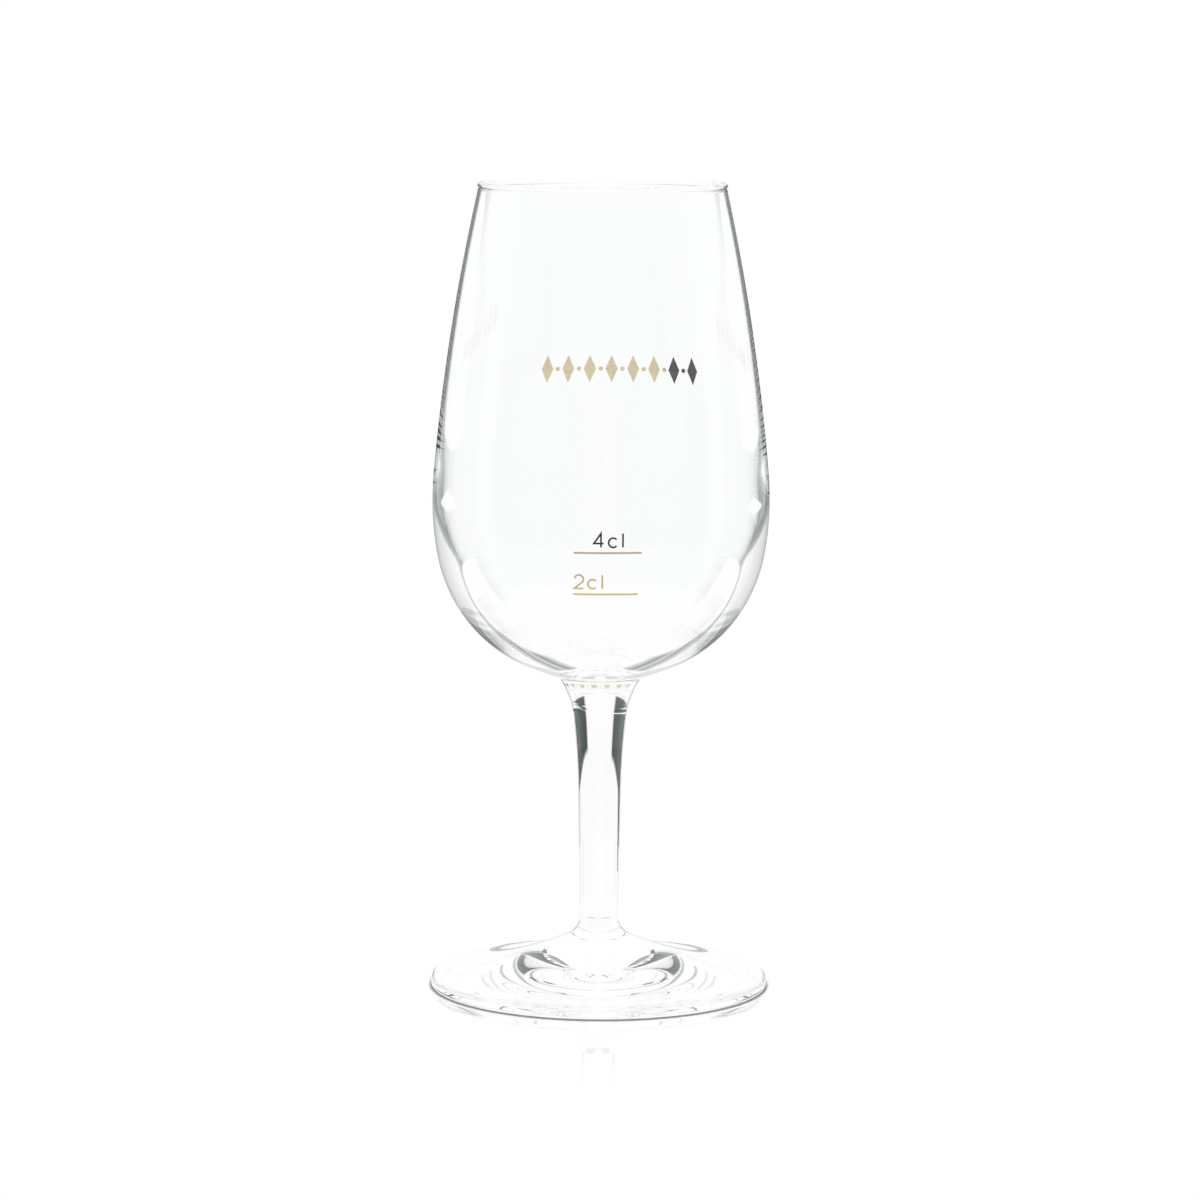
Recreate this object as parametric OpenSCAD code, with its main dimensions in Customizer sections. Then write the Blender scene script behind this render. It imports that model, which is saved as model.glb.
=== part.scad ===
// Nosing glass: a tulip bowl on a drawn stem and a domed foot, in clear glass,
// with gold fill lines on the front and a gold band of lozenges on the back.
// The glass stands on Z = 0, its axis is Z, and its front faces -Y. Millimetres.

/* [Bowl] */
// Height of the bowl, from its joint with the stem to the rim
bowl_h = 96.5; // [92:0.5:104]
// Outside diameter at the widest ring of the bowl
bowl_d = 64.6; // [62:0.2:72]
// Outside diameter of the wall just under the rim's bead
rim_d = 47.3; // [43:0.1:50]
// Height of the widest ring above the joint with the stem
belly_h = 35.5; // [33:0.5:38]
// Radius of the fillet between the stem and the underside of the bowl
neck_fillet_r = 4.47; // [3:0.01:6]
// Slope of the underside of the bowl where it leaves that fillet
underside_angle = 14.5; // [8:0.5:20]
// Share of the outline from there to the widest ring that its first, tighter arc takes
underside_share = 0.78; // [0.6:0.01:0.9]
// Share of the outline from the widest ring to the rim that its first, tighter arc takes
shoulder_share = 0.11; // [0.05:0.01:0.4]
// Lean of the wall at the rim, as a share of the lean of a line to it from the widest ring
rim_lean_share = 1.54; // [1.3:0.02:1.8]

/* [Inside of the bowl] */
// Glass between the joint with the stem and the bottom of the inside
floor_t = 5.55; // [4.5:0.05:7.5]
// Wall at the widest ring: outside radius less inside radius
belly_wall = 1.95; // [1.5:0.05:2.4]
// Height of the widest ring of the inside above that of the outside
inside_rise = 7.1; // [5:0.1:9]
// Share of the inside's outline, from its bottom to its widest ring, that the round floor takes
inside_floor_share = 0.9; // [0.7:0.01:0.95]
// Share of the inside's outline from its widest ring to the rim that its first arc takes
inside_shoulder_share = 0.13; // [0.05:0.01:0.4]
// Lean of the inside at the rim, as a share of the lean of a line to it from its widest ring
inside_lean_share = 1.63; // [1.3:0.01:1.9]
// Wall just under the rim
rim_wall = 0.78; // [0.6:0.02:1.0]
// Thickness of the fire-polished bead on the rim
rim_bead_d = 1.15; // [1.05:0.05:1.6]

/* [Stem] */
// Height of the stem, from its joint with the foot to its joint with the bowl
stem_h = 46.2; // [38:0.2:60]
// Diameter at the joint with the foot
stem_base_d = 7.74; // [7.5:0.02:8.4]
// Diameter of the waist, the thinnest place of the stem
stem_waist_d = 7.26; // [6.6:0.02:7.5]
// Height of the waist above the joint with the foot
stem_waist_h = 1.8; // [1.4:0.1:3]
// Diameter where the straight taper of the shaft ends
stem_mid_d = 8.18; // [7.8:0.02:8.8]
// Height of that place above the joint with the foot
stem_mid_h = 25.7; // [20:0.1:30]
// Diameter at the neck, where the shaft begins to spread
stem_neck_d = 9.96; // [9.4:0.02:10.6]
// Drop of the neck below the joint with the bowl
stem_neck_drop = 6.5; // [5.5:0.1:7.5]
// Diameter at the joint with the bowl
stem_head_d = 13.92; // [13:0.02:15]

/* [Foot] */
// Diameter of the foot
foot_d = 65; // [60:0.5:72]
// Height of the foot, from the table to its joint with the stem
foot_h = 12.3; // [11.9:0.1:14]
// Thickness of the foot at its edge
foot_edge_t = 2.4; // [2:0.1:3]
// Rounding of the edge above
foot_edge_upper_r = 1.1; // [0.6:0.1:1.3]
// Rounding of the edge below
foot_edge_lower_r = 0.6; // [0.3:0.1:0.7]
// Slope of the top of the foot at its edge
foot_edge_angle = 7.5; // [5:0.1:9]
// Diameter at which the top of the foot turns up into the collar
foot_flare_d = 16; // [14:0.2:18]
// Height of the top of the foot at that diameter
foot_flare_h = 8.86; // [8.2:0.02:9.2]
// Width of the flat ring that the glass stands on
foot_ring_w = 3.5; // [2:0.1:6]
// Height of the hollow under the foot
foot_hollow_h = 1.4; // [0.8:0.1:1.8]
// Diameter of the low boss in the middle of the hollow
foot_boss_d = 17; // [12:0.5:22]
// Height by which that boss stands down into the hollow
foot_boss_t = 0.5; // [0.3:0.05:0.7]
// Width of the boss's sloping side
foot_boss_side_w = 0.9; // [0.4:0.1:1.5]

/* [Fill lines] */
// Height of the lower line above the bowl's joint, at 2 cl
lower_line_h = 21.5; // [18:0.1:24]
// Length of the lower line round the bowl
lower_line_l = 12; // [8:0.1:16]
// Distance of the lower line's middle to the right of the bowl's front
lower_line_shift = 0.9; // [-2:0.1:2]
// Height of the upper line above the bowl's joint, at 4 cl
upper_line_h = 29.4; // [26:0.1:33]
// Length of the upper line round the bowl
upper_line_l = 12.6; // [8:0.1:16]
// Distance of the upper line's middle to the right of the bowl's front
upper_line_shift = 1.3; // [-2:0.1:2]
// Width of both lines
line_w = 0.36; // [0.25:0.01:0.6]
// Thickness of the gold on the glass
film_t = 0.05; // [0.04:0.01:0.1]

/* [Back band] */
// Height of the middle of the band above the bowl's joint
band_h = 58.3; // [50:0.1:66]
// Distance of the band's middle to the right, seen through the glass from the front
band_shift = 4.2; // [0:0.1:6]
// Distance from one lozenge to the next round the bowl
band_pitch = 4.4; // [4.2:0.1:5]
// Lozenges in the band
band_count = 8; // [4:1:10]
// Height of a lozenge
lozenge_h = 5.6; // [4:0.1:8]
// Width of a lozenge
lozenge_w = 2.5; // [1.5:0.1:2.8]
// Diameter of the dots between the lozenges
dot_d = 0.9; // [0.6:0.05:1.1]

/* [Hidden] */
// Greatest distance between a curve and the chords that stand for it
arc_sag = 0.025;
$fn = 60;

// Radius of the circle that passes p square to the unit normal n, with its centre on the side
// that n points to, and also passes q
function tangent_r(p, n, q) = (q - p) * (q - p) / (2 * n * (q - p));
// Direction of the vector v, in degrees
function direction(v) = atan2(v[1], v[0]);
// Vector of length 1 in the direction a
function unit(a) = [cos(a), sin(a)];
// Points of an arc round c from the direction a to the direction b, without its first point
function arc(c, r, a, b) =
    let (steps = ceil(abs(b - a) / (2 * acos(1 - arc_sag / r))))
    [for (i = [1:steps]) c + r * unit(a + (b - a) * i / steps)];
// Points, without the first one, of two arcs that leave p in the direction a and reach q in the
// direction b. They both turn left and are tangent where they meet, and the first takes the share
function two_arcs(p, a, q, b, share) =
    let (
        v = q - p,
        u = share * unit(a) + (1 - share) * unit(b),
        reach = (sqrt(v * u * (v * u) + v * v * (1 - u * u)) - v * u) / (1 - u * u),
        meet = p + share * (v + reach * (unit(a) - u)),
        first_r = tangent_r(p, unit(a + 90), meet),
        first_c = p + first_r * unit(a + 90),
        last_r = tangent_r(q, unit(b + 90), meet),
        last_c = q + last_r * unit(b + 90),
        turn = direction(meet - first_c)
    )
    concat(arc(first_c, first_r, a - 90, turn), arc(last_c, last_r, turn, b - 90));
// The same points in reverse order, without the one that was last
function backwards(points) = [for (i = [len(points) - 2:-1:0]) points[i]];

// Outline of the stem, upwards from its joint with the foot. Its circles all lie outside the glass,
// each tangent to the next
stem_base = [stem_base_d / 2, 0];
stem_waist = [stem_waist_d / 2, stem_waist_h];
stem_mid = [stem_mid_d / 2, stem_mid_h];
stem_neck = [stem_neck_d / 2, stem_h - stem_neck_drop];
stem_head = [stem_head_d / 2, stem_h];
taper_out = unit(direction(stem_mid - stem_waist) - 90);
base_r = tangent_r(stem_waist, taper_out, stem_base);
base_c = stem_waist + base_r * taper_out;
swell_r = tangent_r(stem_mid, taper_out, stem_neck);
swell_c = stem_mid + swell_r * taper_out;
head_r = tangent_r(stem_neck, unit(direction(swell_c - stem_neck)), stem_head);
head_c = stem_neck + head_r * unit(direction(swell_c - stem_neck));
// Directions square to the stem's outline at its two joints
base_out = unit(direction(base_c - stem_base));
head_out = unit(direction(head_c - stem_head));
stem_outline = concat(
    [[0, 0], stem_base],
    arc(base_c, base_r, direction(stem_base - base_c) + 360, direction(stem_waist - base_c)),
    [stem_mid],
    arc(swell_c, swell_r, direction(stem_mid - swell_c), direction(stem_neck - swell_c)),
    arc(head_c, head_r, direction(stem_neck - head_c), direction(stem_head - head_c)),
    [[0, stem_h]]
);

// Bead on the rim, and the points where the wall's two sides run into it
bead_r = rim_bead_d / 2;
bead_c = [(rim_d - rim_wall) / 2, bowl_h - bead_r];
// Half of the angle that the wall takes from the bead's circle
bead_gap_angle = asin(rim_wall / rim_bead_d);
rim_outside = bead_c + bead_r * unit(bead_gap_angle - 90);
rim_inside = bead_c + bead_r * unit(-90 - bead_gap_angle);
rim_bead = concat(
    arc(bead_c, bead_r, bead_gap_angle - 90, 90),
    arc(bead_c, bead_r, 90, 270 - bead_gap_angle)
);

// Outside of the bowl, upwards from its joint with the stem. The fillet goes on from the stem's
// outline, with its circle outside the glass too
bowl_joint = [stem_head_d / 2, 0];
belly = [bowl_d / 2, belly_h];
fillet_c = bowl_joint + neck_fillet_r * head_out;
fillet_end = fillet_c + neck_fillet_r * unit(underside_angle + 90);
rim_lean = rim_lean_share * (direction(rim_outside - belly) - 90);
bowl_outside = concat(
    [bowl_joint],
    arc(fillet_c, neck_fillet_r, direction(-head_out), underside_angle + 90),
    two_arcs(fillet_end, underside_angle, belly, 90, underside_share),
    two_arcs(belly, 90, rim_outside, 90 + rim_lean, shoulder_share)
);

// Inside of the bowl, upwards from the middle of its floor
inside_bottom = [0, floor_t];
inside_belly = belly + [-belly_wall, inside_rise];
inside_lean = inside_lean_share * (direction(rim_inside - inside_belly) - 90);
bowl_inside = concat(
    [inside_bottom],
    two_arcs(inside_bottom, 0, inside_belly, 90, inside_floor_share),
    two_arcs(inside_belly, 90, rim_inside, 90 + inside_lean, inside_shoulder_share)
);

// Outline of the foot: its underside outwards, its edge, and its top inwards to the joint
foot_r = foot_d / 2;
ring_outer = foot_r - foot_edge_lower_r;
boss_edge = [foot_boss_d / 2, foot_hollow_h - foot_boss_t];
hollow_edge = [foot_boss_d / 2 + foot_boss_side_w, foot_hollow_h];
ring_inner = [ring_outer - foot_ring_w, 0];
hollow_r = tangent_r(hollow_edge, [0, -1], ring_inner);
hollow_c = hollow_edge - [0, hollow_r];
edge_lower_c = [ring_outer, foot_edge_lower_r];
edge_upper_c = [foot_r - foot_edge_upper_r, foot_edge_t - foot_edge_upper_r];
shoulder_out = unit(90 - foot_edge_angle);
shoulder = edge_upper_c + foot_edge_upper_r * shoulder_out;
dish_r = tangent_r(shoulder, shoulder_out, [foot_flare_d / 2, foot_flare_h]);
dish_c = shoulder + dish_r * shoulder_out;
// The collar's fillet leaves the joint square to base_out and touches the dish's circle from inside
foot_joint = [stem_base_d / 2, foot_h];
from_dish = foot_joint - dish_c;
collar_r = (dish_r * dish_r - from_dish * from_dish) / (2 * (dish_r + base_out * from_dish));
collar_c = foot_joint + collar_r * base_out;
collar_turn = direction(collar_c - dish_c);
foot_outline = concat(
    [[0, boss_edge[1]], boss_edge, hollow_edge],
    arc(hollow_c, hollow_r, 90, direction(ring_inner - hollow_c)),
    [[ring_outer, 0]],
    arc(edge_lower_c, foot_edge_lower_r, -90, 0),
    [edge_upper_c + [foot_edge_upper_r, 0]],
    arc(edge_upper_c, foot_edge_upper_r, 0, 90 - foot_edge_angle),
    arc(dish_c, dish_r, direction(shoulder - dish_c), collar_turn),
    arc(collar_c, collar_r, collar_turn, direction(foot_joint - collar_c)),
    [[0, foot_h]]
);

// Height of the bowl's joint above the table, and the bowl's outside radius at a height above it
bowl_base = foot_h + stem_h;
function outside_r(h) = lookup(h, [for (p = bowl_outside) [p[1], p[0]]]);
// Angle round the bowl's axis that a length takes at a height
function turn_of(l, h) = l / outside_r(h) * 180 / PI;
// Directions of the front and of the back, seen from above
front_angle = -90;
back_angle = 90;

// Thin film of gold round the outside of the bowl, of height w, with its middle at the height h
module film(h, w) {
    rotate_extrude()
    intersection() {
        translate([0, h - w / 2]) square([bowl_d, w]);
        difference() {
            translate([film_t, 0]) outside_section();
            outside_section();
        }
    }
}

// Section of the bowl with its inside filled
module outside_section() {
    polygon(concat([[0, 0]], bowl_outside, [[0, rim_outside[1]]]));
}

// Flat shape, up to w high, printed on the bowl round the height h in the direction a from above
module printed(a, h, w) {
    intersection() {
        film(h, w);
        rotate([0, 0, a]) translate([0, 0, h]) rotate([90, 0, 90]) linear_extrude(bowl_d) children();
    }
}

// Gold line on the front of the bowl, l long, with its middle a distance s to the right
module fill_line(h, l, s) {
    color("goldenrod")
    translate([0, 0, bowl_base])
    printed(front_angle + turn_of(s, h), h, line_w) square([l, 2 * line_w], center = true);
}

module lozenge() {
    polygon([[0, -lozenge_h / 2], [lozenge_w / 2, 0], [0, lozenge_h / 2], [-lozenge_w / 2, 0]]);
}

module bowl() {
    color([0.86, 0.93, 0.92, 0.5])
    translate([0, 0, bowl_base])
    rotate_extrude()
    polygon(concat(
        [[0, 0]],
        bowl_outside,
        rim_bead,
        backwards(bowl_inside)
    ));
}

module stem() {
    color([0.80, 0.89, 0.88, 0.5])
    translate([0, 0, foot_h])
    rotate_extrude() polygon(stem_outline);
}

module foot() {
    color([0.83, 0.91, 0.90, 0.5])
    rotate_extrude() polygon(foot_outline);
}

module lower_fill_line() {
    fill_line(lower_line_h, lower_line_l, lower_line_shift);
}

module upper_fill_line() {
    fill_line(upper_line_h, upper_line_l, upper_line_shift);
}

// Row of lozenges on the back of the bowl, with a dot between each two
module back_band() {
    pitch_angle = turn_of(band_pitch, band_h);
    first_angle = back_angle - turn_of(band_shift, band_h) - pitch_angle * (band_count - 1) / 2;
    color("goldenrod")
    translate([0, 0, bowl_base]) {
        for (i = [0:band_count - 1])
            printed(first_angle + i * pitch_angle, band_h, lozenge_h) lozenge();
        for (i = [1:band_count - 1])
            printed(first_angle + (i - 1 / 2) * pitch_angle, band_h, lozenge_h) circle(d = dot_d);
    }
}

bowl();
stem();
foot();
lower_fill_line();
upper_fill_line();
back_band();
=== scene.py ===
# Looks of the nosing glass: clear blown glass, gold print, a white studio and the camera.
# Metres, in the frame of the CAD part: Z up, the glass stands on Z = 0 and its front faces -Y.
import math

import bpy
import numpy as np
from mathutils import Euler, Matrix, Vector


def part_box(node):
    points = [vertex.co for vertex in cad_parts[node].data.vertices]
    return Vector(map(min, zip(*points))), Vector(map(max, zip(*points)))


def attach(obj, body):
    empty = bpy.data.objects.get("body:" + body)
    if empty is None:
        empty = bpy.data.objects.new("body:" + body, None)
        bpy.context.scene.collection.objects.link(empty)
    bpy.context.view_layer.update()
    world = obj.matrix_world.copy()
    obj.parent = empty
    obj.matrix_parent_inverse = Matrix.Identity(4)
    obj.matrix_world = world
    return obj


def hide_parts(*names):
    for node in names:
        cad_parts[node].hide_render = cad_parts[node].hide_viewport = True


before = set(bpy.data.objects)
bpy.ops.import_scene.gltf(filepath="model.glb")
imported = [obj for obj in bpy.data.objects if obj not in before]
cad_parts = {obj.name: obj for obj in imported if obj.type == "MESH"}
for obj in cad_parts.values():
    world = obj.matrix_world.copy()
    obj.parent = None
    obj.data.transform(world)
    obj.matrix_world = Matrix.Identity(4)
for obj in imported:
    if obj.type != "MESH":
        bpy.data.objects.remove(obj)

MM = 0.001
# Degrees in a radian
DEGREES = 180 / math.pi

# Sizes of the glass, the same as in the CAD part. Those that its boxes give are read from them
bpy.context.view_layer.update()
BOWL_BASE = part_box("bowl")[0].z
BELLY_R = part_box("bowl")[1].x
RIM_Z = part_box("bowl")[1].z
FOOT_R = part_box("foot")[1].x
FOOT_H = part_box("foot")[1].z
STEM_HEAD_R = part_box("stem")[1].x
RIM_D = 47.3 * MM
BELLY_H = 35.5 * MM
NECK_FILLET_R = 4.47 * MM
UNDERSIDE_ANGLE = 14.5
UNDERSIDE_SHARE = 0.78
SHOULDER_SHARE = 0.11
RIM_LEAN_SHARE = 1.54
FLOOR_T = 5.55 * MM
BELLY_WALL = 1.95 * MM
INSIDE_RISE = 7.1 * MM
INSIDE_FLOOR_SHARE = 0.9
INSIDE_SHOULDER_SHARE = 0.13
INSIDE_LEAN_SHARE = 1.63
RIM_WALL = 0.78 * MM
RIM_BEAD_D = 1.15 * MM
STEM_BASE_D = 7.74 * MM
STEM_WAIST_D = 7.26 * MM
STEM_WAIST_H = 1.8 * MM
STEM_MID_D = 8.18 * MM
STEM_MID_H = 25.7 * MM
STEM_NECK_D = 9.96 * MM
STEM_NECK_DROP = 6.5 * MM
FOOT_EDGE_T = 2.4 * MM
FOOT_EDGE_UPPER_R = 1.1 * MM
FOOT_EDGE_LOWER_R = 0.6 * MM
FOOT_EDGE_ANGLE = 7.5
FOOT_FLARE_D = 16 * MM
FOOT_FLARE_H = 8.86 * MM
FOOT_RING_W = 3.5 * MM
FOOT_HOLLOW_H = 1.4 * MM
FOOT_BOSS_D = 17 * MM
FOOT_BOSS_T = 0.5 * MM
FOOT_BOSS_SIDE_W = 0.9 * MM
FILM_T = 0.05 * MM

# Fineness of the glass meshes
ARC_STEP_ANGLE = 1.5
ARC_STEP_LENGTH = 0.6 * MM
ROUND_STEPS = 256
FOOT_ROUND_STEPS = 512
# Rounding of the pressed edges under the foot
PRESSED_EDGE_R = 0.4 * MM

# Figures beside the fill lines: height of a digit and of a small letter, and width of the stroke.
# Their left sides are measured along the front wall, from the middle, and their feet from Z = 0
DIGIT_H = 2.6 * MM
LETTER_H = 1.75 * MM
STROKE_W = 0.33 * MM
# Depth by which the back of the print lies in the wall
FIGURE_SINK = 0.01 * MM
UPPER_FIGURE_Z = 88.98 * MM
UPPER_FIGURES = {"4": -1.3 * MM, "c": 1.44 * MM, "l": 4.1 * MM}
LOWER_FIGURE_Z = 81.12 * MM
LOWER_FIGURES = {"2": -4.9 * MM, "c": -2.34 * MM, "l": 0.3 * MM}
# Forms of the figures, as shares of their heights and as directions where their bends start and end
C_WIDTH_SHARE = 0.96
C_BEND = (42, 318)
C_STEPS = 40
FOUR_WIDTH_SHARE = 0.7
FOUR_BAR_SHARE = 0.28
FOUR_UPRIGHT_SHARE = 0.73
TWO_BEND_SHARE = 0.325
TWO_BEND = (170, -35)
TWO_STEPS = 32

# Waves that blowing leaves on the inside of the bowl
WAVE_DEPTH = 0.022 * MM
WAVE_MIDDLE_Z = 100 * MM
WAVE_REACH = 16 * MM
WAVE_LENGTH = 20 * MM
SIDE_WAVE_SHARE = 0.5
SIDE_WAVE_PACE = 1.7

# Glass: its colour seen square on and edge on. The edge tint is partly the glass's own green and
# partly painted shade for its dark edges. It starts at a share of Layer Weight's Facing, and is
# weaker on the rim's bead and below the belly
GLASS_IOR = 1.51
CLEAR = (0.99, 0.998, 0.995, 1)
STEM_CLEAR = (0.985, 0.988, 0.982, 1)
EDGE_TINT_AND_PAINTED_SHADE = (0.38, 0.49, 0.49, 1)
EDGE_START = 0.8
STEM_EDGE_START = 0.6
BEAD_EDGE_SHARE = 0.2
LOW_EDGE_Z = 80 * MM
HIGH_EDGE_Z = 100 * MM
LOW_EDGE_SHARE = 0.3
# Fine relief of the glass: depths, and noise scales along X, Y and Z
STREAK_DETAIL = 3
BOWL_STREAK_DEPTH = 0.002 * MM
BOWL_STREAK_SCALE = (60, 60, 12)
STEM_STREAK_DEPTH = 0.002 * MM
STEM_STREAK_SCALE = (900, 900, 40)
TOOL_RING_Z = 54.4 * MM
TOOL_RING_SLANT = 0.15
TOOL_RING_HALF_W = 0.6 * MM
TOOL_RING_DEPTH = 0.1 * MM
FOOT_RELIEF_DEPTH = 0.003 * MM
FOOT_RELIEF_SCALE = (60, 60, 60)
FOOT_RELIEF_DETAIL = 2

# Gold print: bright and deep gold, the paler gold of the band, and a near black bronze that is a
# painted reflection of a dark room, on the band's right end and the upper figures
BRIGHT_GOLD = (0.80, 0.62, 0.34, 1)
DEEP_GOLD = (0.70, 0.51, 0.25, 1)
PALE_GOLD = (0.84, 0.73, 0.5, 1)
PAINTED_DARK_REFLECTION = (0.12, 0.105, 0.07, 1)
BAND_PAINTED_REFLECTION = (0.02, 0.02, 0.012, 1)
DEEPEST_PAINTED_REFLECTION = (0.015, 0.014, 0.01, 1)
BAND_PAINTED_DARK_X = 12.5 * MM
PAINTED_DARK_CHANGE_W = 1 * MM
MOTTLE_SCALE = 1400
MOTTLE_DETAIL = 4
GOLD_ROUGHNESS = (0.25, 0.45)

# Camera
CAMERA_PLACE = Vector((-0.0001, -0.864, 0.1865))
CAMERA_PITCH = -7.35
CAMERA_ROLL = 0.3
CAMERA_LENS = 136.05
CAMERA_SENSOR = 36

# Light bounces that clear glass needs for the ways round inside its walls
GLASS_BOUNCES = 80
ALL_BOUNCES = 100

# Floor: a disc of plain white that takes a faint shadow
FLOOR_R = 0.14
FLOOR_STEPS = 128
FLOOR_DROP = 0.02 * MM
FLOOR_WHITE_SHARE = 0.994
# Dark line where the foot touches the floor, on a ring slightly longer than wide: real shade,
# and a painted shadow in the floor's colour
CONTACT_WHITE_SHARE = 0.02
CONTACT_R = 0.0323
CONTACT_END_R = 0.0336
CONTACT_SQUEEZE = 0.975
PAINTED_CONTACT_SHADOW = (0.2, 0.185, 0.225, 1)
CONTACT_MIRROR_SHARE = 0.15
# Mirror image of the glass in the floor, which fades with the distance from the foot
MIRROR_R = 0.12
MIRROR_SHARE = 0.6
MIRROR_ROUGHNESS = 0.02
# Striped shade on the far floor that only light reflected once inside the glass finds
FAR_SHADE_START_R = 0.067
FAR_SHADE_R = 0.075
FAR_SHADE_TURN = 22
FAR_SHADE_SHARE = 0.85
STRIPE_PITCH = 0.027
STRIPE_LOW_SHARE = 0.55

# White screens on four sides and the dark gaps between them, in degrees. A gap's start and end
# are angles from the nearest of the four axes. Light that was reflected once sees other gaps,
# whose start and end depend on whether it goes level, falling or rising
GAP_START = 22
GAP_END = 60
LEVEL_GAP = (8, 28)
FALLING_GAP = (8, 45)
RISING_GAP = (38, 60)
LEVEL_ANGLE = 5
STEEP_ANGLE = 10
GAP_SOFTNESS = 2
GAP_LOWER_EDGE_W = 1
GAP_HIGH = 19
STRAIGHT_GAP_HIGH = 24
GAP_LOW = -34
STRAIGHT_GAP_LOW = -5.5
STRAIGHT_GAP_FALL = 3.6
STRAIGHT_FALL_END = 68
STRAIGHT_GAP_TILT = 0.8
# How dark the gaps are. SIDE_CHANGE and names that end in Y are on the scale of the parts of a
# direction, which runs from -1 to 1
STRAIGHT_SHARE_DROP = 0.03
STRAIGHT_FRONT_SHARE = 0.5
SIDE_CHANGE = 0.2
REFLECTED_SHARE = 0.88
REFLECTED_START_Y = 0.45
REFLECTED_FULL_Y = 0.75
ENTERED_SHARE = 0.35
# The room in front, which only the outer surface mirrors
FRONT_SHADE_SHARE = 0.3
FRONT_SHADE_Y = -0.3
# Light that has passed through more surfaces than this sees no gap and no card
MOST_PASSES = 2
# Dark cards that only light reflected more often finds. Their reflections are the least and the
# most, and their turns are angles from the rear. Low in the rear half, and weaker after many
# reflections
LEVEL_CARD_REFLECTIONS = (4, 11)
LEVEL_CARD_FULL_UP_TO = 8
LEVEL_CARD_SHARE = 0.7
LEVEL_CARD_TOP = 9.5
LEVEL_CARD_SOFTNESS = 1
LEVEL_CARD_TURN = 92
# High on both sides
RAISED_CARD_REFLECTIONS = (5, 5)
RAISED_CARD_SHARE = 1
RAISED_CARD_LOW = 13
RAISED_CARD_HIGH = 40
RAISED_CARD_TURN = (46, 112)
# At middle height on both sides
SIDE_CARD_REFLECTIONS = (2, 3)
SIDE_CARD_SHARE = 0.95
SIDE_CARD_LOW = 8
SIDE_CARD_HIGH = 33
SIDE_CARD_TURN = (36, 84)
# Colours of the studio, and of all its gaps, cards and stripes
WHITE = (1, 1, 1, 1)
DARK = (0.004, 0.024, 0.028, 1)


def unit(angle):
    """Unit vector in a direction given in degrees."""
    return np.array([math.cos(math.radians(angle)), math.sin(math.radians(angle))])


def direction(vector):
    """Direction of a vector in degrees."""
    return math.degrees(math.atan2(vector[1], vector[0]))


def tangent_radius(p, normal, q):
    """Radius of the circle that passes p square to the unit normal and also passes q."""
    return (q - p) @ (q - p) / (2 * normal @ (q - p))


def arc(centre, radius, start, end):
    """Points of an arc from one direction to another, without its first point."""
    by_angle = abs(end - start) / ARC_STEP_ANGLE
    by_length = math.radians(abs(end - start)) * radius / ARC_STEP_LENGTH
    steps = math.ceil(max(by_angle, by_length))
    return [centre + radius * unit(start + (end - start) * i / steps) for i in range(1, steps + 1)]


def two_arcs(p, leaving, q, arriving, share):
    """Points, without the first one, of two tangent arcs from p to q that both turn left."""
    way = q - p
    mean = share * unit(leaving) + (1 - share) * unit(arriving)
    along = way @ mean
    reach = (math.sqrt(along**2 + way @ way * (1 - mean @ mean)) - along) / (1 - mean @ mean)
    meet = p + share * (way + reach * (unit(leaving) - mean))
    first_r = tangent_radius(p, unit(leaving + 90), meet)
    first_c = p + first_r * unit(leaving + 90)
    last_r = tangent_radius(q, unit(arriving + 90), meet)
    last_c = q + last_r * unit(arriving + 90)
    turn = direction(meet - first_c)
    return arc(first_c, first_r, leaving - 90, turn) + arc(last_c, last_r, turn, arriving - 90)


def corner(before, point, after, radius):
    """Points of an arc that rounds the corner at point, between before and after."""
    back = (before - point) / np.linalg.norm(before - point)
    on = (after - point) / np.linalg.norm(after - point)
    half = math.acos(back @ on) / 2
    reach = radius / math.tan(half)
    middle = (back + on) / np.linalg.norm(back + on)
    centre = point + middle * radius / math.sin(half)
    start = direction(point + back * reach - centre)
    end = direction(point + on * reach - centre)
    end += 360 * round((start - end) / 360)
    return [point + back * reach] + arc(centre, radius, start, end)


def stem_outline():
    """Side of the stem, upwards, and the directions square to it at its two joints."""
    height = BOWL_BASE - FOOT_H
    base = np.array([STEM_BASE_D / 2, 0])
    waist = np.array([STEM_WAIST_D / 2, STEM_WAIST_H])
    mid = np.array([STEM_MID_D / 2, STEM_MID_H])
    neck = np.array([STEM_NECK_D / 2, height - STEM_NECK_DROP])
    head = np.array([STEM_HEAD_R, height])
    taper_out = unit(direction(mid - waist) - 90)
    base_r = tangent_radius(waist, taper_out, base)
    base_c = waist + base_r * taper_out
    swell_r = tangent_radius(mid, taper_out, neck)
    swell_c = mid + swell_r * taper_out
    neck_out = unit(direction(swell_c - neck))
    head_r = tangent_radius(neck, neck_out, head)
    head_c = neck + head_r * neck_out
    shaft_steps = math.ceil((STEM_MID_H - STEM_WAIST_H) / ARC_STEP_LENGTH)
    shaft = [waist + (mid - waist) * i / shaft_steps for i in range(1, shaft_steps + 1)]
    points = (
        [base]
        + arc(base_c, base_r, direction(base - base_c) + 360, direction(waist - base_c))
        + shaft
        + arc(swell_c, swell_r, direction(mid - swell_c), direction(neck - swell_c))
        + arc(head_c, head_r, direction(neck - head_c), direction(head - head_c))
    )
    return points, unit(direction(base_c - base)), unit(direction(head_c - head))


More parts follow.
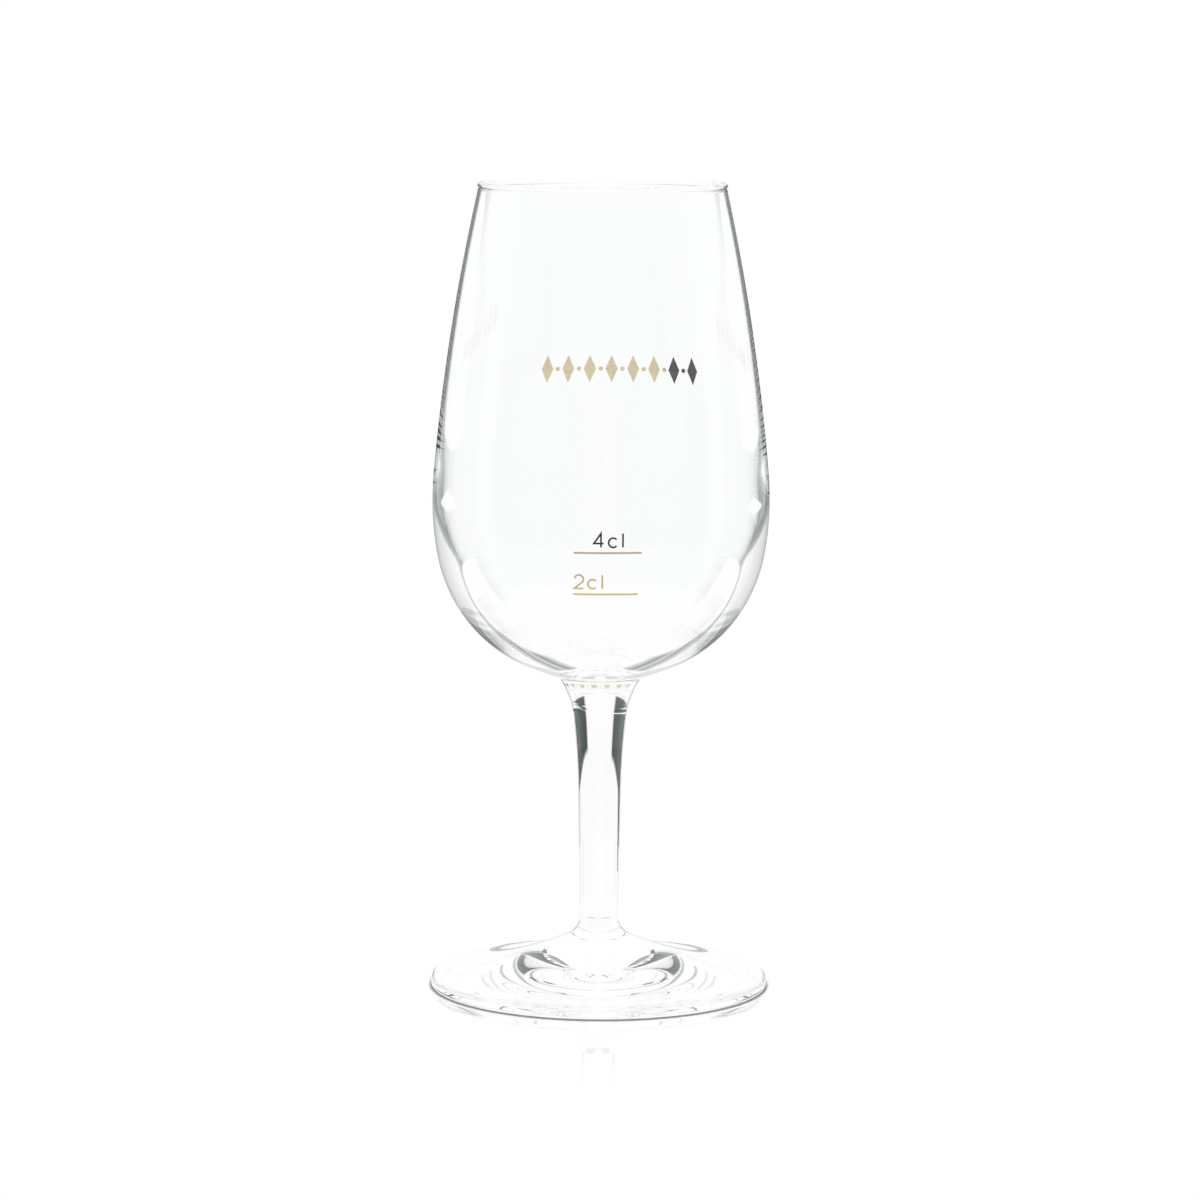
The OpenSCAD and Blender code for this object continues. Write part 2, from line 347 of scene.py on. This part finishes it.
def bowl_outlines(head_out):
    """Outside of the bowl upwards, its bead, and its inside upwards from its floor."""
    bead_r = RIM_BEAD_D / 2
    bead_c = np.array([(RIM_D - RIM_WALL) / 2, RIM_Z - BOWL_BASE - bead_r])
    gap_angle = math.degrees(math.asin(RIM_WALL / RIM_BEAD_D))
    rim_outside = bead_c + bead_r * unit(gap_angle - 90)
    rim_inside = bead_c + bead_r * unit(-90 - gap_angle)
    joint = np.array([STEM_HEAD_R, 0])
    belly = np.array([BELLY_R, BELLY_H])
    fillet_c = joint + NECK_FILLET_R * head_out
    fillet_end = fillet_c + NECK_FILLET_R * unit(UNDERSIDE_ANGLE + 90)
    rim_lean = RIM_LEAN_SHARE * (direction(rim_outside - belly) - 90)
    outside = (
        [joint]
        + arc(fillet_c, NECK_FILLET_R, direction(-head_out), UNDERSIDE_ANGLE + 90)
        + two_arcs(fillet_end, UNDERSIDE_ANGLE, belly, 90, UNDERSIDE_SHARE)
        + two_arcs(belly, 90, rim_outside, 90 + rim_lean, SHOULDER_SHARE)
    )
    bead = arc(bead_c, bead_r, gap_angle - 90, 90) + arc(bead_c, bead_r, 90, 270 - gap_angle)
    bottom = np.array([0, FLOOR_T])
    inside_belly = belly + np.array([-BELLY_WALL, INSIDE_RISE])
    inside_lean = INSIDE_LEAN_SHARE * (direction(rim_inside - inside_belly) - 90)
    inside = (
        [bottom]
        + two_arcs(bottom, 0, inside_belly, 90, INSIDE_FLOOR_SHARE)
        + two_arcs(inside_belly, 90, rim_inside, 90 + inside_lean, INSIDE_SHOULDER_SHARE)
    )
    return outside, bead, inside


def foot_outline(base_out):
    """Outline of the foot from the middle of its underside, round its edge and up to the joint."""
    ring_outer = FOOT_R - FOOT_EDGE_LOWER_R
    boss_edge = np.array([FOOT_BOSS_D / 2, FOOT_HOLLOW_H - FOOT_BOSS_T])
    hollow_edge = boss_edge + np.array([FOOT_BOSS_SIDE_W, FOOT_BOSS_T])
    ring_inner = np.array([ring_outer - FOOT_RING_W, 0])
    hollow_r = tangent_radius(hollow_edge, np.array([0, -1]), ring_inner)
    hollow_c = hollow_edge - np.array([0, hollow_r])
    hollow_end = direction(ring_inner - hollow_c)
    hollow_way = unit(hollow_end - 90)
    outwards = np.array([FOOT_RING_W, 0])
    underside = (
        [np.array([0, boss_edge[1]])]
        + corner(boss_edge - outwards, boss_edge, hollow_edge, PRESSED_EDGE_R)
        + corner(boss_edge, hollow_edge, hollow_edge + outwards, PRESSED_EDGE_R)
        + arc(hollow_c, hollow_r, 90, hollow_end)[1:-1]
        + corner(ring_inner - hollow_way, ring_inner, ring_inner + outwards, PRESSED_EDGE_R)
        + [np.array([ring_outer, 0])]
    )
    lower_c = np.array([ring_outer, FOOT_EDGE_LOWER_R])
    upper_c = np.array([FOOT_R - FOOT_EDGE_UPPER_R, FOOT_EDGE_T - FOOT_EDGE_UPPER_R])
    shoulder_out = unit(90 - FOOT_EDGE_ANGLE)
    shoulder = upper_c + FOOT_EDGE_UPPER_R * shoulder_out
    dish_r = tangent_radius(shoulder, shoulder_out, np.array([FOOT_FLARE_D / 2, FOOT_FLARE_H]))
    dish_c = shoulder + dish_r * shoulder_out
    joint = np.array([STEM_BASE_D / 2, FOOT_H])
    from_dish = joint - dish_c
    collar_r = (dish_r**2 - from_dish @ from_dish) / (2 * (dish_r + base_out @ from_dish))
    collar_c = joint + collar_r * base_out
    collar_turn = direction(collar_c - dish_c)
    return (
        underside
        + arc(lower_c, FOOT_EDGE_LOWER_R, -90, 0)
        + [upper_c + np.array([FOOT_EDGE_UPPER_R, 0])]
        + arc(upper_c, FOOT_EDGE_UPPER_R, 0, 90 - FOOT_EDGE_ANGLE)
        + arc(dish_c, dish_r, direction(shoulder - dish_c), collar_turn)
        + arc(collar_c, collar_r, collar_turn, direction(joint - collar_c))
    )


def add_mesh(name, points, faces, material):
    """Smooth mesh object of one material."""
    mesh = bpy.data.meshes.new(name)
    mesh.from_pydata([tuple(p) for p in points], [], faces)
    mesh.polygons.foreach_set("use_smooth", [True] * len(mesh.polygons))
    mesh.materials.append(material)
    piece = bpy.data.objects.new(name, mesh)
    bpy.context.scene.collection.objects.link(piece)
    return piece


def lathe(name, outline, base, material, round_steps=ROUND_STEPS):
    """Turns an outline, which runs with the glass on its left, round the Z axis."""
    points, faces, rings = [], [], []
    angles = np.linspace(0, 2 * math.pi, round_steps, endpoint=False)
    for radius, height in outline:
        if radius < FILM_T:
            rings.append([len(points)] * round_steps)
            points.append((0, 0, base + height))
        else:
            rings.append(list(range(len(points), len(points) + round_steps)))
            points += [(radius * math.cos(a), radius * math.sin(a), base + height) for a in angles]
    for low, high in zip(rings, rings[1:]):
        for i in range(round_steps):
            j = (i + 1) % round_steps
            face = [low[i], low[j], high[j], high[i]]
            faces.append(list(dict.fromkeys(face)))
    return add_mesh(name, points, faces, material)


class Nodes:
    """Short calls for building a node tree."""

    def __init__(self, tree):
        self.tree = tree
        tree.nodes.clear()

    def add(self, kind, settings=(), **inputs):
        node = self.tree.nodes.new(kind)
        for name, value in dict(settings).items():
            setattr(node, name, value)
        for name, value in inputs.items():
            self.put(node, name.replace("_", " "), value)
        return node

    def put(self, node, name, value):
        """Links or sets an input, given by its name or as its number in a string."""
        socket = node.inputs[int(name)] if name.isdigit() else node.inputs[name]
        if isinstance(value, bpy.types.NodeSocket):
            self.tree.links.new(value, socket)
        else:
            socket.default_value = value

    def math(self, operation, *values):
        node = self.add("ShaderNodeMath", {"operation": operation})
        for i, value in enumerate(values):
            self.put(node, str(i), value)
        return node.outputs[0]

    def noise(self, place, scale, detail):
        """Soft noise, stretched by a scale along each axis."""
        stretched = self.add("ShaderNodeVectorMath", {"operation": "MULTIPLY"}, Vector=place)
        self.put(stretched, "1", scale)
        return self.add(
            "ShaderNodeTexNoise", Vector=stretched.outputs[0], Scale=1, Detail=detail
        ).outputs[0]

    def both(self, *values):
        """Product of two or more values."""
        product = values[0]
        for value in values[1:]:
            product = self.math("MULTIPLY", product, value)
        return product

    def step(self, value, start, end, low=0, high=1):
        """Runs smoothly from low to high as the value goes from start to end."""
        if start > end:
            start, end, low, high = end, start, high, low
        node = self.add(
            "ShaderNodeMapRange",
            {"interpolation_type": "SMOOTHSTEP"},
            Value=value,
            From_Min=start,
            From_Max=end,
            To_Min=low,
            To_Max=high,
        )
        return node.outputs[0]

    def mix(self, factor, first, second):
        """Colour between two colours."""
        node = self.add("ShaderNodeMix", {"data_type": "RGBA"})
        self.put(node, "0", factor)
        self.put(node, "6", first)
        self.put(node, "7", second)
        return node.outputs[2]

    def mix_shader(self, factor, first, second):
        node = self.add("ShaderNodeMixShader")
        self.put(node, "0", factor)
        self.put(node, "1", first)
        self.put(node, "2", second)
        return node.outputs[0]


def new_material(name):
    """A material, its nodes and its output node."""
    material = bpy.data.materials.new(name)
    material.use_nodes = True
    nodes = Nodes(material.node_tree)
    return material, nodes, nodes.add("ShaderNodeOutputMaterial")


def glass_material(name, clear, edge_start, add_height):
    """Clear glass, tinted where it is seen edge on: partly its own green, partly painted shade.
    add_height gives its fine relief in metres.
    """
    material, nodes, out = new_material(name)
    place = nodes.add("ShaderNodeTexCoord").outputs["Object"]
    facing = nodes.add("ShaderNodeLayerWeight", Blend=0.5).outputs["Facing"]
    height = nodes.add("ShaderNodeSeparateXYZ", Vector=place).outputs["Z"]
    below_bead = nodes.step(height, RIM_Z - RIM_BEAD_D, RIM_Z - 2 * RIM_BEAD_D, BEAD_EDGE_SHARE, 1)
    above_belly = nodes.step(height, LOW_EDGE_Z, HIGH_EDGE_Z, LOW_EDGE_SHARE, 1)
    # Tint seen edge on: partly the glass's own green, partly painted shade for its dark edges
    tint_and_shade_share = nodes.both(nodes.step(facing, edge_start, 1), below_bead, above_belly)
    relief = nodes.add("ShaderNodeBump", Strength=1, Distance=1, Height=add_height(nodes, place))
    shader = nodes.add("ShaderNodeBsdfPrincipled")
    nodes.put(shader, "Base Color", nodes.mix(tint_and_shade_share, clear, EDGE_TINT_AND_PAINTED_SHADE))
    nodes.put(shader, "Roughness", 0)
    nodes.put(shader, "IOR", GLASS_IOR)
    nodes.put(shader, "Transmission Weight", 1)
    nodes.put(shader, "Normal", relief.outputs[0])
    nodes.put(out, "Surface", shader.outputs[0])
    return material


def drawn_streaks(nodes, place):
    """Faint streaks down the bowl, as drawing and blowing leave them."""
    return nodes.both(nodes.noise(place, BOWL_STREAK_SCALE, STREAK_DETAIL), BOWL_STREAK_DEPTH)


def stem_relief(nodes, place):
    """Streaks down the stem and the slanting ring that the tool leaves under the bowl."""
    streaks = nodes.both(nodes.noise(place, STEM_STREAK_SCALE, STREAK_DETAIL), STEM_STREAK_DEPTH)
    axes = nodes.add("ShaderNodeSeparateXYZ", Vector=place).outputs
    slant = nodes.math("MULTIPLY_ADD", axes["X"], TOOL_RING_SLANT, axes["Z"])
    off_ring = nodes.math("SUBTRACT", slant, TOOL_RING_Z)
    near_ring = nodes.step(nodes.math("ABSOLUTE", off_ring), TOOL_RING_HALF_W, 0)
    return nodes.math("MULTIPLY_ADD", near_ring, TOOL_RING_DEPTH, streaks)


def pressed_relief(nodes, place):
    """Hardly visible unevenness of the pressed foot."""
    unevenness = nodes.noise(place, FOOT_RELIEF_SCALE, FOOT_RELIEF_DETAIL)
    return nodes.both(unevenness, FOOT_RELIEF_DEPTH)


def gold_material(name, bright, deep, painted_reflection_colour, start_of_painted_dark):
    """Burnt-on gold with a faint mottle, which turns to a painted dark reflection from a given
    place along X.
    """
    material, nodes, out = new_material(name)
    place = nodes.add("ShaderNodeTexCoord").outputs["Object"]
    mottle = nodes.add(
        "ShaderNodeTexNoise", Vector=place, Scale=MOTTLE_SCALE, Detail=MOTTLE_DETAIL
    ).outputs[0]
    x = nodes.add("ShaderNodeSeparateXYZ", Vector=place).outputs["X"]
    gold = nodes.mix(mottle, bright, deep)
    # Painted reflection of a dark room: near black bronze from a given place along X
    painted_reflection_colour = nodes.mix(mottle, painted_reflection_colour, DEEPEST_PAINTED_REFLECTION)
    dark = nodes.step(x, start_of_painted_dark, start_of_painted_dark + PAINTED_DARK_CHANGE_W)
    shader = nodes.add("ShaderNodeBsdfPrincipled")
    nodes.put(shader, "Base Color", nodes.mix(dark, gold, painted_reflection_colour))
    nodes.put(shader, "Metallic", 1)
    nodes.put(shader, "Roughness", nodes.step(mottle, 0, 1, *GOLD_ROUGHNESS))
    nodes.put(out, "Surface", shader.outputs[0])
    return material


def off_nearest_axis(nodes, axes):
    """Angle in degrees, up to 45, between a level direction and the nearest of the four axes."""
    azimuth = nodes.math("ARCTAN2", axes["Y"], axes["X"])
    folded = nodes.math("PINGPONG", azimuth, math.radians(45))
    return nodes.math("MULTIPLY", folded, DEGREES)


def counted(nodes, depth, least, most):
    """1 where a number of reflections or passes lies between two whole numbers, else 0."""
    return nodes.both(
        nodes.math("GREATER_THAN", depth, least - 0.5),
        nodes.math("LESS_THAN", depth, most + 0.5),
    )


def gap_between(nodes, turn, start, end):
    """1 where an angle lies between start and end, with soft edges, else 0."""
    after = nodes.step(nodes.math("SUBTRACT", turn, start), -GAP_SOFTNESS, GAP_SOFTNESS)
    before = nodes.step(nodes.math("SUBTRACT", end, turn), -GAP_SOFTNESS, GAP_SOFTNESS)
    return nodes.both(after, before)


def add_world():
    """White all round. Only light bent by the glass sees dark gaps and cards, as in a studio."""
    world = bpy.data.worlds.new("studio")
    bpy.context.scene.world = world
    world.use_nodes = True
    nodes = Nodes(world.node_tree)
    out = nodes.add("ShaderNodeOutputWorld")
    path = nodes.add("ShaderNodeLightPath").outputs
    way = nodes.add("ShaderNodeTexCoord").outputs["Generated"]
    axes = nodes.add("ShaderNodeSeparateXYZ", Vector=way).outputs
    elevation = nodes.math("MULTIPLY", nodes.math("ARCSINE", axes["Z"]), DEGREES)
    reflections, passes = path["Glossy Depth"], path["Transmission Depth"]
    straight = nodes.math("LESS_THAN", reflections, 0.5)
    once = counted(nodes, reflections, 1, 1)
    few_passes = nodes.math("LESS_THAN", passes, MOST_PASSES + 0.5)
    entered = nodes.math("GREATER_THAN", passes, 0.5)

    # Start and end of the gap for light that wasn't reflected, or was once
    falling = nodes.step(elevation, -LEVEL_ANGLE, -STEEP_ANGLE)
    rising = nodes.step(elevation, LEVEL_ANGLE, STEEP_ANGLE)
    ends = []
    for wide, level, fallen, risen in zip((GAP_START, GAP_END), LEVEL_GAP, FALLING_GAP, RISING_GAP):
        narrowed = nodes.math("MULTIPLY_ADD", falling, fallen - level, level - wide)
        narrowed = nodes.math("MULTIPLY_ADD", rising, risen - level, narrowed)
        ends.append(nodes.math("MULTIPLY_ADD", once, narrowed, wide))
    turn = off_nearest_axis(nodes, axes)
    azimuth = nodes.math("MULTIPLY", nodes.math("ARCTAN2", axes["X"], axes["Y"]), DEGREES)
    off_rear = nodes.math("ABSOLUTE", azimuth)
    off_screen = gap_between(nodes, turn, *ends)

    # Its lower and upper ends, and how dark it is by direction
    outwards = nodes.step(off_rear, GAP_START, STRAIGHT_FALL_END)
    fall = nodes.math("MULTIPLY_ADD", outwards, -STRAIGHT_GAP_FALL, STRAIGHT_GAP_LOW)
    straight_low = nodes.math("MULTIPLY_ADD", axes["X"], STRAIGHT_GAP_TILT, fall)
    low_shift = nodes.both(straight, nodes.math("SUBTRACT", straight_low, GAP_LOW))
    low = nodes.math("ADD", low_shift, GAP_LOW)
    above = nodes.step(nodes.math("SUBTRACT", elevation, low), 0, GAP_LOWER_EDGE_W)
    high = nodes.math("MULTIPLY_ADD", straight, STRAIGHT_GAP_HIGH - GAP_HIGH, GAP_HIGH)
    under = nodes.math("SUBTRACT", high, elevation)
    below_top = nodes.step(under, -GAP_SOFTNESS, GAP_SOFTNESS)
    to_rear = nodes.step(axes["Y"], REFLECTED_START_Y, REFLECTED_FULL_Y, 0, REFLECTED_SHARE)
    entered_share = nodes.both(entered, ENTERED_SHARE)
    drop = nodes.step(axes["X"], -SIDE_CHANGE, SIDE_CHANGE, 1 - STRAIGHT_SHARE_DROP, 1)
    not_front = nodes.step(axes["Y"], -SIDE_CHANGE, 0, STRAIGHT_FRONT_SHARE, 1)
    straight_share = nodes.both(straight, drop, not_front)
    side_share = nodes.math("MAXIMUM", to_rear, entered_share)
    side_share = nodes.math("MAXIMUM", straight_share, side_share)
    at_most_once = nodes.math("ADD", straight, once)
    gap = nodes.both(off_screen, above, below_top, side_share, at_most_once)

    outer_reflection = nodes.both(once, nodes.math("SUBTRACT", 1, entered))
    in_front = nodes.step(axes["Y"], 0, FRONT_SHADE_Y, 0, FRONT_SHADE_SHARE)
    gap = nodes.math("MAXIMUM", gap, nodes.both(outer_reflection, in_front))

    # Cards for the light that was reflected more often
    card_top = LEVEL_CARD_TOP
    level_card = nodes.both(
        gap_between(nodes, off_rear, GAP_SOFTNESS, LEVEL_CARD_TURN),
        nodes.step(elevation, card_top + LEVEL_CARD_SOFTNESS, card_top - LEVEL_CARD_SOFTNESS),
    )
    raised_card = nodes.both(
        gap_between(nodes, off_rear, *RAISED_CARD_TURN),
        gap_between(nodes, elevation, RAISED_CARD_LOW, RAISED_CARD_HIGH),
    )
    full_up_to = LEVEL_CARD_FULL_UP_TO
    level_share = nodes.step(
        reflections, full_up_to, full_up_to + 1, LEVEL_CARD_SHARE, LEVEL_CARD_SHARE / 2
    )
    finds_level = counted(nodes, reflections, *LEVEL_CARD_REFLECTIONS)
    finds_raised = counted(nodes, reflections, *RAISED_CARD_REFLECTIONS)
    finds_side = counted(nodes, reflections, *SIDE_CARD_REFLECTIONS)
    level_gap = nodes.both(finds_level, level_card, level_share)
    raised_gap = nodes.both(finds_raised, raised_card, RAISED_CARD_SHARE)
    side_card = nodes.both(
        gap_between(nodes, off_rear, *SIDE_CARD_TURN),
        gap_between(nodes, elevation, SIDE_CARD_LOW, SIDE_CARD_HIGH),
    )
    side_gap = nodes.both(finds_side, side_card, SIDE_CARD_SHARE)
    cards = nodes.math("MAXIMUM", nodes.math("MAXIMUM", level_gap, raised_gap), side_gap)
    dark = nodes.both(nodes.math("ADD", gap, cards), few_passes)
    bent = nodes.math("MAXIMUM", path["Is Glossy Ray"], path["Is Transmission Ray"])
    colour = nodes.mix(nodes.both(dark, bent), WHITE, DARK)
    light = nodes.add("ShaderNodeBackground", Color=colour)
    nodes.put(out, "Surface", light.outputs[0])


def add_floor():
    """White disc with a fading mirror image, and a shadow that is dark only under the foot, partly
    real shade and partly painted.
    """
    material, nodes, out = new_material("floor_white")
    path = nodes.add("ShaderNodeLightPath").outputs
    place = nodes.add("ShaderNodeTexCoord").outputs["Object"]
    distance = nodes.add("ShaderNodeVectorMath", {"operation": "LENGTH"}, Vector=place)
    off_axis = distance.outputs["Value"]
    axes = nodes.add("ShaderNodeSeparateXYZ", Vector=place).outputs
    turn = off_nearest_axis(nodes, axes)
    near_axis = nodes.step(turn, FAR_SHADE_TURN + GAP_SOFTNESS, FAR_SHADE_TURN - GAP_SOFTNESS)
    behind = nodes.step(axes["Y"], 0, FOOT_R)
    far = nodes.step(off_axis, FAR_SHADE_START_R, FAR_SHADE_R, 0, FAR_SHADE_SHARE)
    swing = nodes.math("SINE", nodes.math("MULTIPLY", off_axis, 2 * math.pi / STRIPE_PITCH))
    stripes = nodes.step(swing, -1, 1, STRIPE_LOW_SHARE, 1)
    once = nodes.both(
        counted(nodes, path["Glossy Depth"], 1, 1),
        nodes.math("LESS_THAN", path["Transmission Depth"], MOST_PASSES + 0.5),
    )
    shade = nodes.both(once, far, stripes, near_axis, behind)
    bent = nodes.math("MAXIMUM", path["Is Glossy Ray"], path["Is Transmission Ray"])
    white = nodes.add("ShaderNodeEmission", Color=nodes.mix(shade, WHITE, DARK))
    squeezed = nodes.add("ShaderNodeVectorMath", {"operation": "MULTIPLY"}, Vector=place)
    nodes.put(squeezed, "1", (1, CONTACT_SQUEEZE, 1))
    off_foot = nodes.add("ShaderNodeVectorMath", {"operation": "LENGTH"})
    nodes.put(off_foot, "0", squeezed.outputs[0])
    contact_shade_ring = nodes.step(off_foot.outputs["Value"], CONTACT_END_R, CONTACT_R)
    # Painted shadow: the floor's colour turns grey-violet on the ring under the foot's edge
    floor_with_painted_shadow = nodes.mix(contact_shade_ring, WHITE, PAINTED_CONTACT_SHADOW)
    diffuse = nodes.add("ShaderNodeBsdfDiffuse", Color=floor_with_painted_shadow)
    open_share = nodes.step(contact_shade_ring, 0, 1, FLOOR_WHITE_SHARE, CONTACT_WHITE_SHARE)
    seen_share = nodes.both(path["Is Camera Ray"], open_share)
    bent_share = nodes.math("MULTIPLY", bent, FLOOR_WHITE_SHARE)
    share = nodes.math("ADD", seen_share, bent_share)
    lit = nodes.mix_shader(share, diffuse.outputs[0], white.outputs[0])
    mirror = nodes.add("ShaderNodeBsdfGlossy", Color=WHITE, Roughness=MIRROR_ROUGHNESS)
    fade = nodes.add(
        "ShaderNodeMapRange",
        Value=off_axis,
        From_Min=FOOT_R,
        From_Max=MIRROR_R,
        To_Min=1,
        To_Max=0,
    ).outputs[0]
    clear_share = nodes.step(contact_shade_ring, 0, 1, MIRROR_SHARE, CONTACT_MIRROR_SHARE)
    mirror_share = nodes.both(fade, fade, fade, fade, path["Is Camera Ray"], clear_share)
    nodes.put(out, "Surface", nodes.mix_shader(mirror_share, lit, mirror.outputs[0]))
    ring = [
        (FLOOR_R * math.cos(a), FLOOR_R * math.sin(a), -FLOOR_DROP)
        for a in np.linspace(0, 2 * math.pi, FLOOR_STEPS, endpoint=False)
    ]
    floor = add_mesh("floor", ring, [list(range(FLOOR_STEPS))], material)


def add_camera():
    """Camera in front of the glass, level but for its pitch and a slight roll."""
    data = bpy.data.cameras.new("camera")
    data.lens = CAMERA_LENS
    data.sensor_width = CAMERA_SENSOR
    camera = bpy.data.objects.new("camera", data)
    camera.location = CAMERA_PLACE
    level = Euler((math.radians(90 + CAMERA_PITCH), 0, 0)).to_matrix()
    roll = Euler((0, 0, math.radians(CAMERA_ROLL))).to_matrix()
    camera.rotation_euler = (level @ roll).to_euler()
    bpy.context.scene.collection.objects.link(camera)
    bpy.context.scene.camera = camera


def wave(angle, height):
    """How far the inside of the bowl stands out of its true shape at a place."""
    off = (height - WAVE_MIDDLE_Z) / WAVE_REACH
    swell = math.exp(-(off**2))
    turn = 2 * math.pi * (height - WAVE_MIDDLE_Z) / WAVE_LENGTH
    side_wave = SIDE_WAVE_SHARE * math.sin(SIDE_WAVE_PACE * turn - 2 * angle)
    return WAVE_DEPTH * swell * (math.sin(turn + angle) + side_wave)


def add_glass(bowl_shape, stem_side, foot_shape):
    """Visible bowl, stem and foot, finer than the CAD solids that they stand for."""
    outside, bead, inside = bowl_shape
    bowl_glass = glass_material("clear_bowl_glass", CLEAR, EDGE_START, drawn_streaks)
    stem_glass = glass_material("clear_stem_glass", STEM_CLEAR, STEM_EDGE_START, stem_relief)
    foot_glass = glass_material("clear_foot_glass", CLEAR, EDGE_START, pressed_relief)
    bowl = lathe("glass_bowl", outside + bead + inside[-2::-1], BOWL_BASE, bowl_glass)
    first_inside = len(outside) + len(bead)
    wave_inside(bowl, first_inside * ROUND_STEPS)
    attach(bowl, "root")
    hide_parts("bowl")
    stem = lathe("glass_stem", stem_side, FOOT_H, stem_glass)
    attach(stem, "root")
    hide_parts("stem")
    foot = lathe("glass_foot", foot_shape, 0, foot_glass, FOOT_ROUND_STEPS)
    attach(foot, "root")
    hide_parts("foot")


def wave_inside(bowl, first):
    """Moves the points of the bowl's inside, which begin at number first, by the wave."""
    for vertex in bowl.data.vertices[first:]:
        x, y, z = vertex.co
        radius = math.hypot(x, y)
        if radius > FILM_T:
            share = 1 + wave(math.atan2(y, x), z) / radius
            vertex.co = (x * share, y * share, z)


def figure_path(letter):
    """Middle line of a figure from its left side and foot, with rounded turns as short steps."""
    if letter == "l":
        return [np.array([0, 0]), np.array([0, DIGIT_H])]
    if letter == "c":
        halves = np.array([C_WIDTH_SHARE, 1]) * LETTER_H / 2
        return [halves * (1 + unit(angle)) for angle in np.linspace(*C_BEND, C_STEPS)]
    if letter == "4":
        width = FOUR_WIDTH_SHARE * DIGIT_H
        bar = FOUR_BAR_SHARE * DIGIT_H
        upright = FOUR_UPRIGHT_SHARE * width
        return [np.array(p) for p in ((width, bar), (0, bar), (upright, DIGIT_H), (upright, 0))]
    top_r = TWO_BEND_SHARE * DIGIT_H
    top = np.array([top_r, DIGIT_H - top_r])
    bend = [top + top_r * unit(angle) for angle in np.linspace(*TWO_BEND, TWO_STEPS)]
    return bend + [np.array([0, 0]), np.array([2 * top_r, 0])]


def add_figure(name, letter, left, foot_z, outside, material):
    """A printed figure: a flat stroke along its middle line, laid round the front of the bowl."""
    path = figure_path(letter)
    sides = []
    for i, point in enumerate(path):
        before = path[max(i - 1, 0)]
        after = path[min(i + 1, len(path) - 1)]
        ways = [w / np.linalg.norm(w) for w in (point - before, after - point) if np.any(w)]
        along = sum(ways) / np.linalg.norm(sum(ways))
        across = np.array([-along[1], along[0]])
        square = np.array([-ways[0][1], ways[0][0]])
        sides.append((point, across * STROKE_W / 2 / (across @ square)))
    radii = [p[0] for p in outside]
    heights = [p[1] + BOWL_BASE for p in outside]
    corners = ((1, 0), (-1, 0), (-1, 1), (1, 1))
    n = len(corners)
    points = []
    for point, offset in sides:
        for side, film in corners:
            x, z = point + side * offset
            radius = np.interp(foot_z + z, heights, radii)
            angle = (left + x) / radius - math.pi / 2
            radius += film * FILM_T - FIGURE_SINK
            points.append((radius * math.cos(angle), radius * math.sin(angle), foot_z + z))
    faces = []
    for i in range(len(sides) - 1):
        for j in range(n):
            k = (j + 1) % n
            faces.append([n * i + j, n * (i + 1) + j, n * (i + 1) + k, n * i + k])
    last = n * (len(sides) - 1)
    faces += [[0, 1, 2, 3], [last + 3, last + 2, last + 1, last]]
    figure = add_mesh(name, points, faces, material)
    figure.data.polygons.foreach_set("use_smooth", [False] * len(faces))
    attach(figure, "root")


def add_prints(outside):
    """Gold on the CAD prints, and the figures beside the lines. The band's right end and the upper
    figures get a painted reflection of a dark room.
    """
    line_gold = gold_material("gold_print", BRIGHT_GOLD, DEEP_GOLD, PAINTED_DARK_REFLECTION, BELLY_R)
    # Painted reflection: the band turns near black at its right end
    band_gold_and_painted_end = gold_material(
        "band_gold_print_painted_dark_end", PALE_GOLD, BRIGHT_GOLD, BAND_PAINTED_REFLECTION, BAND_PAINTED_DARK_X
    )
    # Painted reflection: the upper figures are near black all over
    painted_reflection_gold = gold_material("gold_print_painted_dark_reflection", BRIGHT_GOLD, DEEP_GOLD, PAINTED_DARK_REFLECTION, -BELLY_R)
    golds = {"lower_fill_line": line_gold, "upper_fill_line": line_gold, "back_band": band_gold_and_painted_end}
    for name, gold in golds.items():
        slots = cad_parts[name].data.materials
        slots.clear()
        slots.append(gold)
    for letter, left in UPPER_FIGURES.items():
        add_figure(f"upper_figure_{letter}", letter, left, UPPER_FIGURE_Z, outside, painted_reflection_gold)
    for letter, left in LOWER_FIGURES.items():
        add_figure(f"lower_figure_{letter}", letter, left, LOWER_FIGURE_Z, outside, line_gold)


scene = bpy.context.scene
scene.view_settings.view_transform = "Standard"
scene.cycles.max_bounces = ALL_BOUNCES
scene.cycles.glossy_bounces = GLASS_BOUNCES
scene.cycles.transmission_bounces = GLASS_BOUNCES
stem_side, base_out, head_out = stem_outline()
bowl_shape = bowl_outlines(head_out)
add_camera()
add_world()
add_floor()
add_glass(bowl_shape, stem_side, foot_outline(base_out))
add_prints(bowl_shape[0])

bpy.context.view_layer.update()
